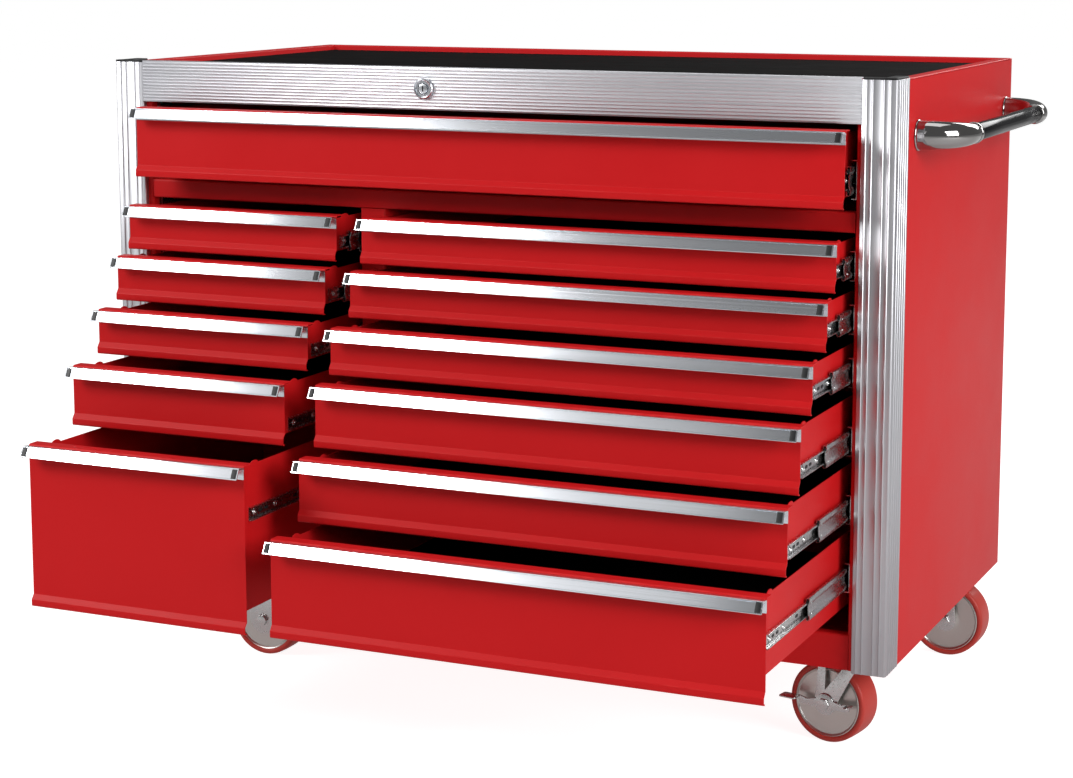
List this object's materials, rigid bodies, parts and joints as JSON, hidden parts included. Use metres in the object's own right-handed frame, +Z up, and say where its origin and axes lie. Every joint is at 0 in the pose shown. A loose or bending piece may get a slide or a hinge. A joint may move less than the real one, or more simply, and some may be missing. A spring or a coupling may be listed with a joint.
{
  "type": "rolling tool chest",
  "caption": "Wide red steel tool cabinet on casters, with rows of drawers shown staggered open, ribbed aluminium corner posts, a recessed mat top and a side push handle",
  "frame": {"origin": "middle of the footprint on the floor, with the drawers standing open as they do at rest", "axes": "+X to the right seen from the front, +Y to the back, so the drawers open towards -Y, +Z up"},
  "size_m": [1.4438, 1.13, 1.046],
  "materials": {
    "red_paint": "glossy red powder coat on folded steel sheet",
    "aluminium": "satin anodised extrusion, ribbed on the posts and top rail",
    "zinc_steel": "bright zinc plate on pressed and rolled steel",
    "chrome": "bright chrome plate",
    "black_tube": "gloss black coat on the handle tube",
    "black_mat": "matt black ribbed rubber mat",
    "red_tyre": "red polyurethane tyre on a zinc plated disc hub"
  },
  "bodies": {
    "cabinet": {"cabinet_shell": "red_paint", "top_tray": "red_paint", "top_mat": "black_mat", "left_corner_post": "aluminium", "right_corner_post": "aluminium", "top_front_rail": "aluminium", "mid_rail": "red_paint", "centre_divider": "red_paint", "left_slide_rack": "zinc_steel", "right_slide_rack": "zinc_steel", "side_handle_tube": "black_tube", "handle_bracket_front": "chrome", "handle_bracket_rear": "chrome", "front_left_fork": "zinc_steel", "rear_left_fork": "zinc_steel"},
    "lock": {"lock_cylinder": "chrome"},
    "drawer_top": {"drawer_top_box": "red_paint", "drawer_top_pull": "aluminium"},
    "drawer_top_middle": {"drawer_top_slide": "zinc_steel"},
    "drawer_left_1": {"drawer_left_1_box": "red_paint", "drawer_left_1_pull": "aluminium"},
    "drawer_left_1_middle": {"drawer_left_1_slide": "zinc_steel"},
    "drawer_left_2": {"drawer_left_2_box": "red_paint", "drawer_left_2_pull": "aluminium"},
    "drawer_left_2_middle": {"drawer_left_2_slide": "zinc_steel"},
    "drawer_left_3": {"drawer_left_3_box": "red_paint", "drawer_left_3_pull": "aluminium"},
    "drawer_left_3_middle": {"drawer_left_3_slide": "zinc_steel"},
    "drawer_left_4": {"drawer_left_4_box": "red_paint", "drawer_left_4_pull": "aluminium"},
    "drawer_left_4_middle": {"drawer_left_4_slide": "zinc_steel"},
    "drawer_left_5": {"drawer_left_5_box": "red_paint", "drawer_left_5_pull": "aluminium"},
    "drawer_left_5_middle": {"drawer_left_5_slide": "zinc_steel"},
    "drawer_right_1": {"drawer_right_1_box": "red_paint", "drawer_right_1_pull": "aluminium"},
    "drawer_right_1_middle": {"drawer_right_1_slide": "zinc_steel"},
    "drawer_right_2": {"drawer_right_2_box": "red_paint", "drawer_right_2_pull": "aluminium"},
    "drawer_right_2_middle": {"drawer_right_2_slide": "zinc_steel"},
    "drawer_right_3": {"drawer_right_3_box": "red_paint", "drawer_right_3_pull": "aluminium"},
    "drawer_right_3_middle": {"drawer_right_3_slide": "zinc_steel"},
    "drawer_right_4": {"drawer_right_4_box": "red_paint", "drawer_right_4_pull": "aluminium"},
    "drawer_right_4_middle": {"drawer_right_4_slide": "zinc_steel"},
    "drawer_right_5": {"drawer_right_5_box": "red_paint", "drawer_right_5_pull": "aluminium"},
    "drawer_right_5_middle": {"drawer_right_5_slide": "zinc_steel"},
    "drawer_right_6": {"drawer_right_6_box": "red_paint", "drawer_right_6_pull": "aluminium"},
    "drawer_right_6_middle": {"drawer_right_6_slide": "zinc_steel"},
    "front_right_fork": {"front_right_fork": "zinc_steel"},
    "front_right_wheel": {"front_right_wheel": "red_tyre"},
    "front_right_brake": {"front_right_brake": "zinc_steel"},
    "rear_right_fork": {"rear_right_fork": "zinc_steel"},
    "rear_right_wheel": {"rear_right_wheel": "red_tyre"},
    "front_left_wheel": {"front_left_wheel": "red_tyre"},
    "rear_left_wheel": {"rear_left_wheel": "red_tyre"}
  },
  "joints": [
    {"name": "drawer_top_open", "type": "slide", "parent": "cabinet", "child": "drawer_top", "axis": [0, -1, 0], "range_m": [-0.046, 0.554]},
    {"name": "drawer_top_middle_open", "type": "slide", "parent": "cabinet", "child": "drawer_top_middle", "axis": [0, -1, 0], "range_m": [-0.023, 0.277]},
    {"name": "drawer_left_1_open", "type": "slide", "parent": "cabinet", "child": "drawer_left_1", "axis": [0, -1, 0], "range_m": [-0.073, 0.527]},
    {"name": "drawer_left_1_middle_open", "type": "slide", "parent": "cabinet", "child": "drawer_left_1_middle", "axis": [0, -1, 0], "range_m": [-0.0365, 0.2635]},
    {"name": "drawer_left_2_open", "type": "slide", "parent": "cabinet", "child": "drawer_left_2", "axis": [0, -1, 0], "range_m": [-0.112, 0.488]},
    {"name": "drawer_left_2_middle_open", "type": "slide", "parent": "cabinet", "child": "drawer_left_2_middle", "axis": [0, -1, 0], "range_m": [-0.056, 0.244]},
    {"name": "drawer_left_3_open", "type": "slide", "parent": "cabinet", "child": "drawer_left_3", "axis": [0, -1, 0], "range_m": [-0.17, 0.43]},
    {"name": "drawer_left_3_middle_open", "type": "slide", "parent": "cabinet", "child": "drawer_left_3_middle", "axis": [0, -1, 0], "range_m": [-0.085, 0.215]},
    {"name": "drawer_left_4_open", "type": "slide", "parent": "cabinet", "child": "drawer_left_4", "axis": [0, -1, 0], "range_m": [-0.245, 0.355]},
    {"name": "drawer_left_4_middle_open", "type": "slide", "parent": "cabinet", "child": "drawer_left_4_middle", "axis": [0, -1, 0], "range_m": [-0.1225, 0.1775]},
    {"name": "drawer_left_5_open", "type": "slide", "parent": "cabinet", "child": "drawer_left_5", "axis": [0, -1, 0], "range_m": [-0.368, 0.232]},
    {"name": "drawer_left_5_middle_open", "type": "slide", "parent": "cabinet", "child": "drawer_left_5_middle", "axis": [0, -1, 0], "range_m": [-0.184, 0.116]},
    {"name": "drawer_right_1_open", "type": "slide", "parent": "cabinet", "child": "drawer_right_1", "axis": [0, -1, 0], "range_m": [-0.08, 0.52]},
    {"name": "drawer_right_1_middle_open", "type": "slide", "parent": "cabinet", "child": "drawer_right_1_middle", "axis": [0, -1, 0], "range_m": [-0.04, 0.26]},
    {"name": "drawer_right_2_open", "type": "slide", "parent": "cabinet", "child": "drawer_right_2", "axis": [0, -1, 0], "range_m": [-0.12, 0.48]},
    {"name": "drawer_right_2_middle_open", "type": "slide", "parent": "cabinet", "child": "drawer_right_2_middle", "axis": [0, -1, 0], "range_m": [-0.06, 0.24]},
    {"name": "drawer_right_3_open", "type": "slide", "parent": "cabinet", "child": "drawer_right_3", "axis": [0, -1, 0], "range_m": [-0.185, 0.415]},
    {"name": "drawer_right_3_middle_open", "type": "slide", "parent": "cabinet", "child": "drawer_right_3_middle", "axis": [0, -1, 0], "range_m": [-0.0925, 0.2075]},
    {"name": "drawer_right_4_open", "type": "slide", "parent": "cabinet", "child": "drawer_right_4", "axis": [0, -1, 0], "range_m": [-0.236, 0.364]},
    {"name": "drawer_right_4_middle_open", "type": "slide", "parent": "cabinet", "child": "drawer_right_4_middle", "axis": [0, -1, 0], "range_m": [-0.118, 0.182]},
    {"name": "drawer_right_5_open", "type": "slide", "parent": "cabinet", "child": "drawer_right_5", "axis": [0, -1, 0], "range_m": [-0.289, 0.311]},
    {"name": "drawer_right_5_middle_open", "type": "slide", "parent": "cabinet", "child": "drawer_right_5_middle", "axis": [0, -1, 0], "range_m": [-0.1445, 0.1555]},
    {"name": "drawer_right_6_open", "type": "slide", "parent": "cabinet", "child": "drawer_right_6", "axis": [0, -1, 0], "range_m": [-0.377, 0.223]},
    {"name": "drawer_right_6_middle_open", "type": "slide", "parent": "cabinet", "child": "drawer_right_6_middle", "axis": [0, -1, 0], "range_m": [-0.1885, 0.1115]},
    {"name": "lock_turn", "type": "hinge", "parent": "cabinet", "child": "lock", "pos_m": [-0.13585, -0.172, 1.0115], "axis": [0, -1, 0], "range_deg": [0, 90]},
    {"name": "front_right_swivel", "type": "hinge", "parent": "cabinet", "child": "front_right_fork", "pos_m": [0.55315, -0.075, 0.065], "axis": [0, 0, 1], "continuous": true},
    {"name": "front_right_roll", "type": "hinge", "parent": "front_right_fork", "child": "front_right_wheel", "pos_m": [0.52763, -0.07004, 0.065], "axis": [0.1908, 0.9816, 0], "continuous": true},
    {"name": "front_right_brake_rock", "type": "hinge", "parent": "front_right_fork", "child": "front_right_brake", "pos_m": [0.52763, -0.07004, 0.065], "axis": [0.1908, 0.9816, 0], "range_deg": [0, 18]},
    {"name": "rear_right_swivel", "type": "hinge", "parent": "cabinet", "child": "rear_right_fork", "pos_m": [0.55315, 0.453, 0.065], "axis": [0, 0, 1], "continuous": true},
    {"name": "rear_right_roll", "type": "hinge", "parent": "rear_right_fork", "child": "rear_right_wheel", "pos_m": [0.57913, 0.45187, 0.065], "axis": [-0.0436, -0.999, 0], "continuous": true},
    {"name": "front_left_roll", "type": "hinge", "parent": "cabinet", "child": "front_left_wheel", "pos_m": [-0.51585, -0.032, 0.065], "axis": [0, 1, 0], "continuous": true},
    {"name": "rear_left_roll", "type": "hinge", "parent": "cabinet", "child": "rear_left_wheel", "pos_m": [-0.51585, 0.453, 0.065], "axis": [0, 1, 0], "continuous": true}
  ],
  "couplings": [
    {"joint": "drawer_top_middle_open", "follows": "drawer_top_open", "ratio": 0.5},
    {"joint": "drawer_left_1_middle_open", "follows": "drawer_left_1_open", "ratio": 0.5},
    {"joint": "drawer_left_2_middle_open", "follows": "drawer_left_2_open", "ratio": 0.5},
    {"joint": "drawer_left_3_middle_open", "follows": "drawer_left_3_open", "ratio": 0.5},
    {"joint": "drawer_left_4_middle_open", "follows": "drawer_left_4_open", "ratio": 0.5},
    {"joint": "drawer_left_5_middle_open", "follows": "drawer_left_5_open", "ratio": 0.5},
    {"joint": "drawer_right_1_middle_open", "follows": "drawer_right_1_open", "ratio": 0.5},
    {"joint": "drawer_right_2_middle_open", "follows": "drawer_right_2_open", "ratio": 0.5},
    {"joint": "drawer_right_3_middle_open", "follows": "drawer_right_3_open", "ratio": 0.5},
    {"joint": "drawer_right_4_middle_open", "follows": "drawer_right_4_open", "ratio": 0.5},
    {"joint": "drawer_right_5_middle_open", "follows": "drawer_right_5_open", "ratio": 0.5},
    {"joint": "drawer_right_6_middle_open", "follows": "drawer_right_6_open", "ratio": 0.5}
  ]
}
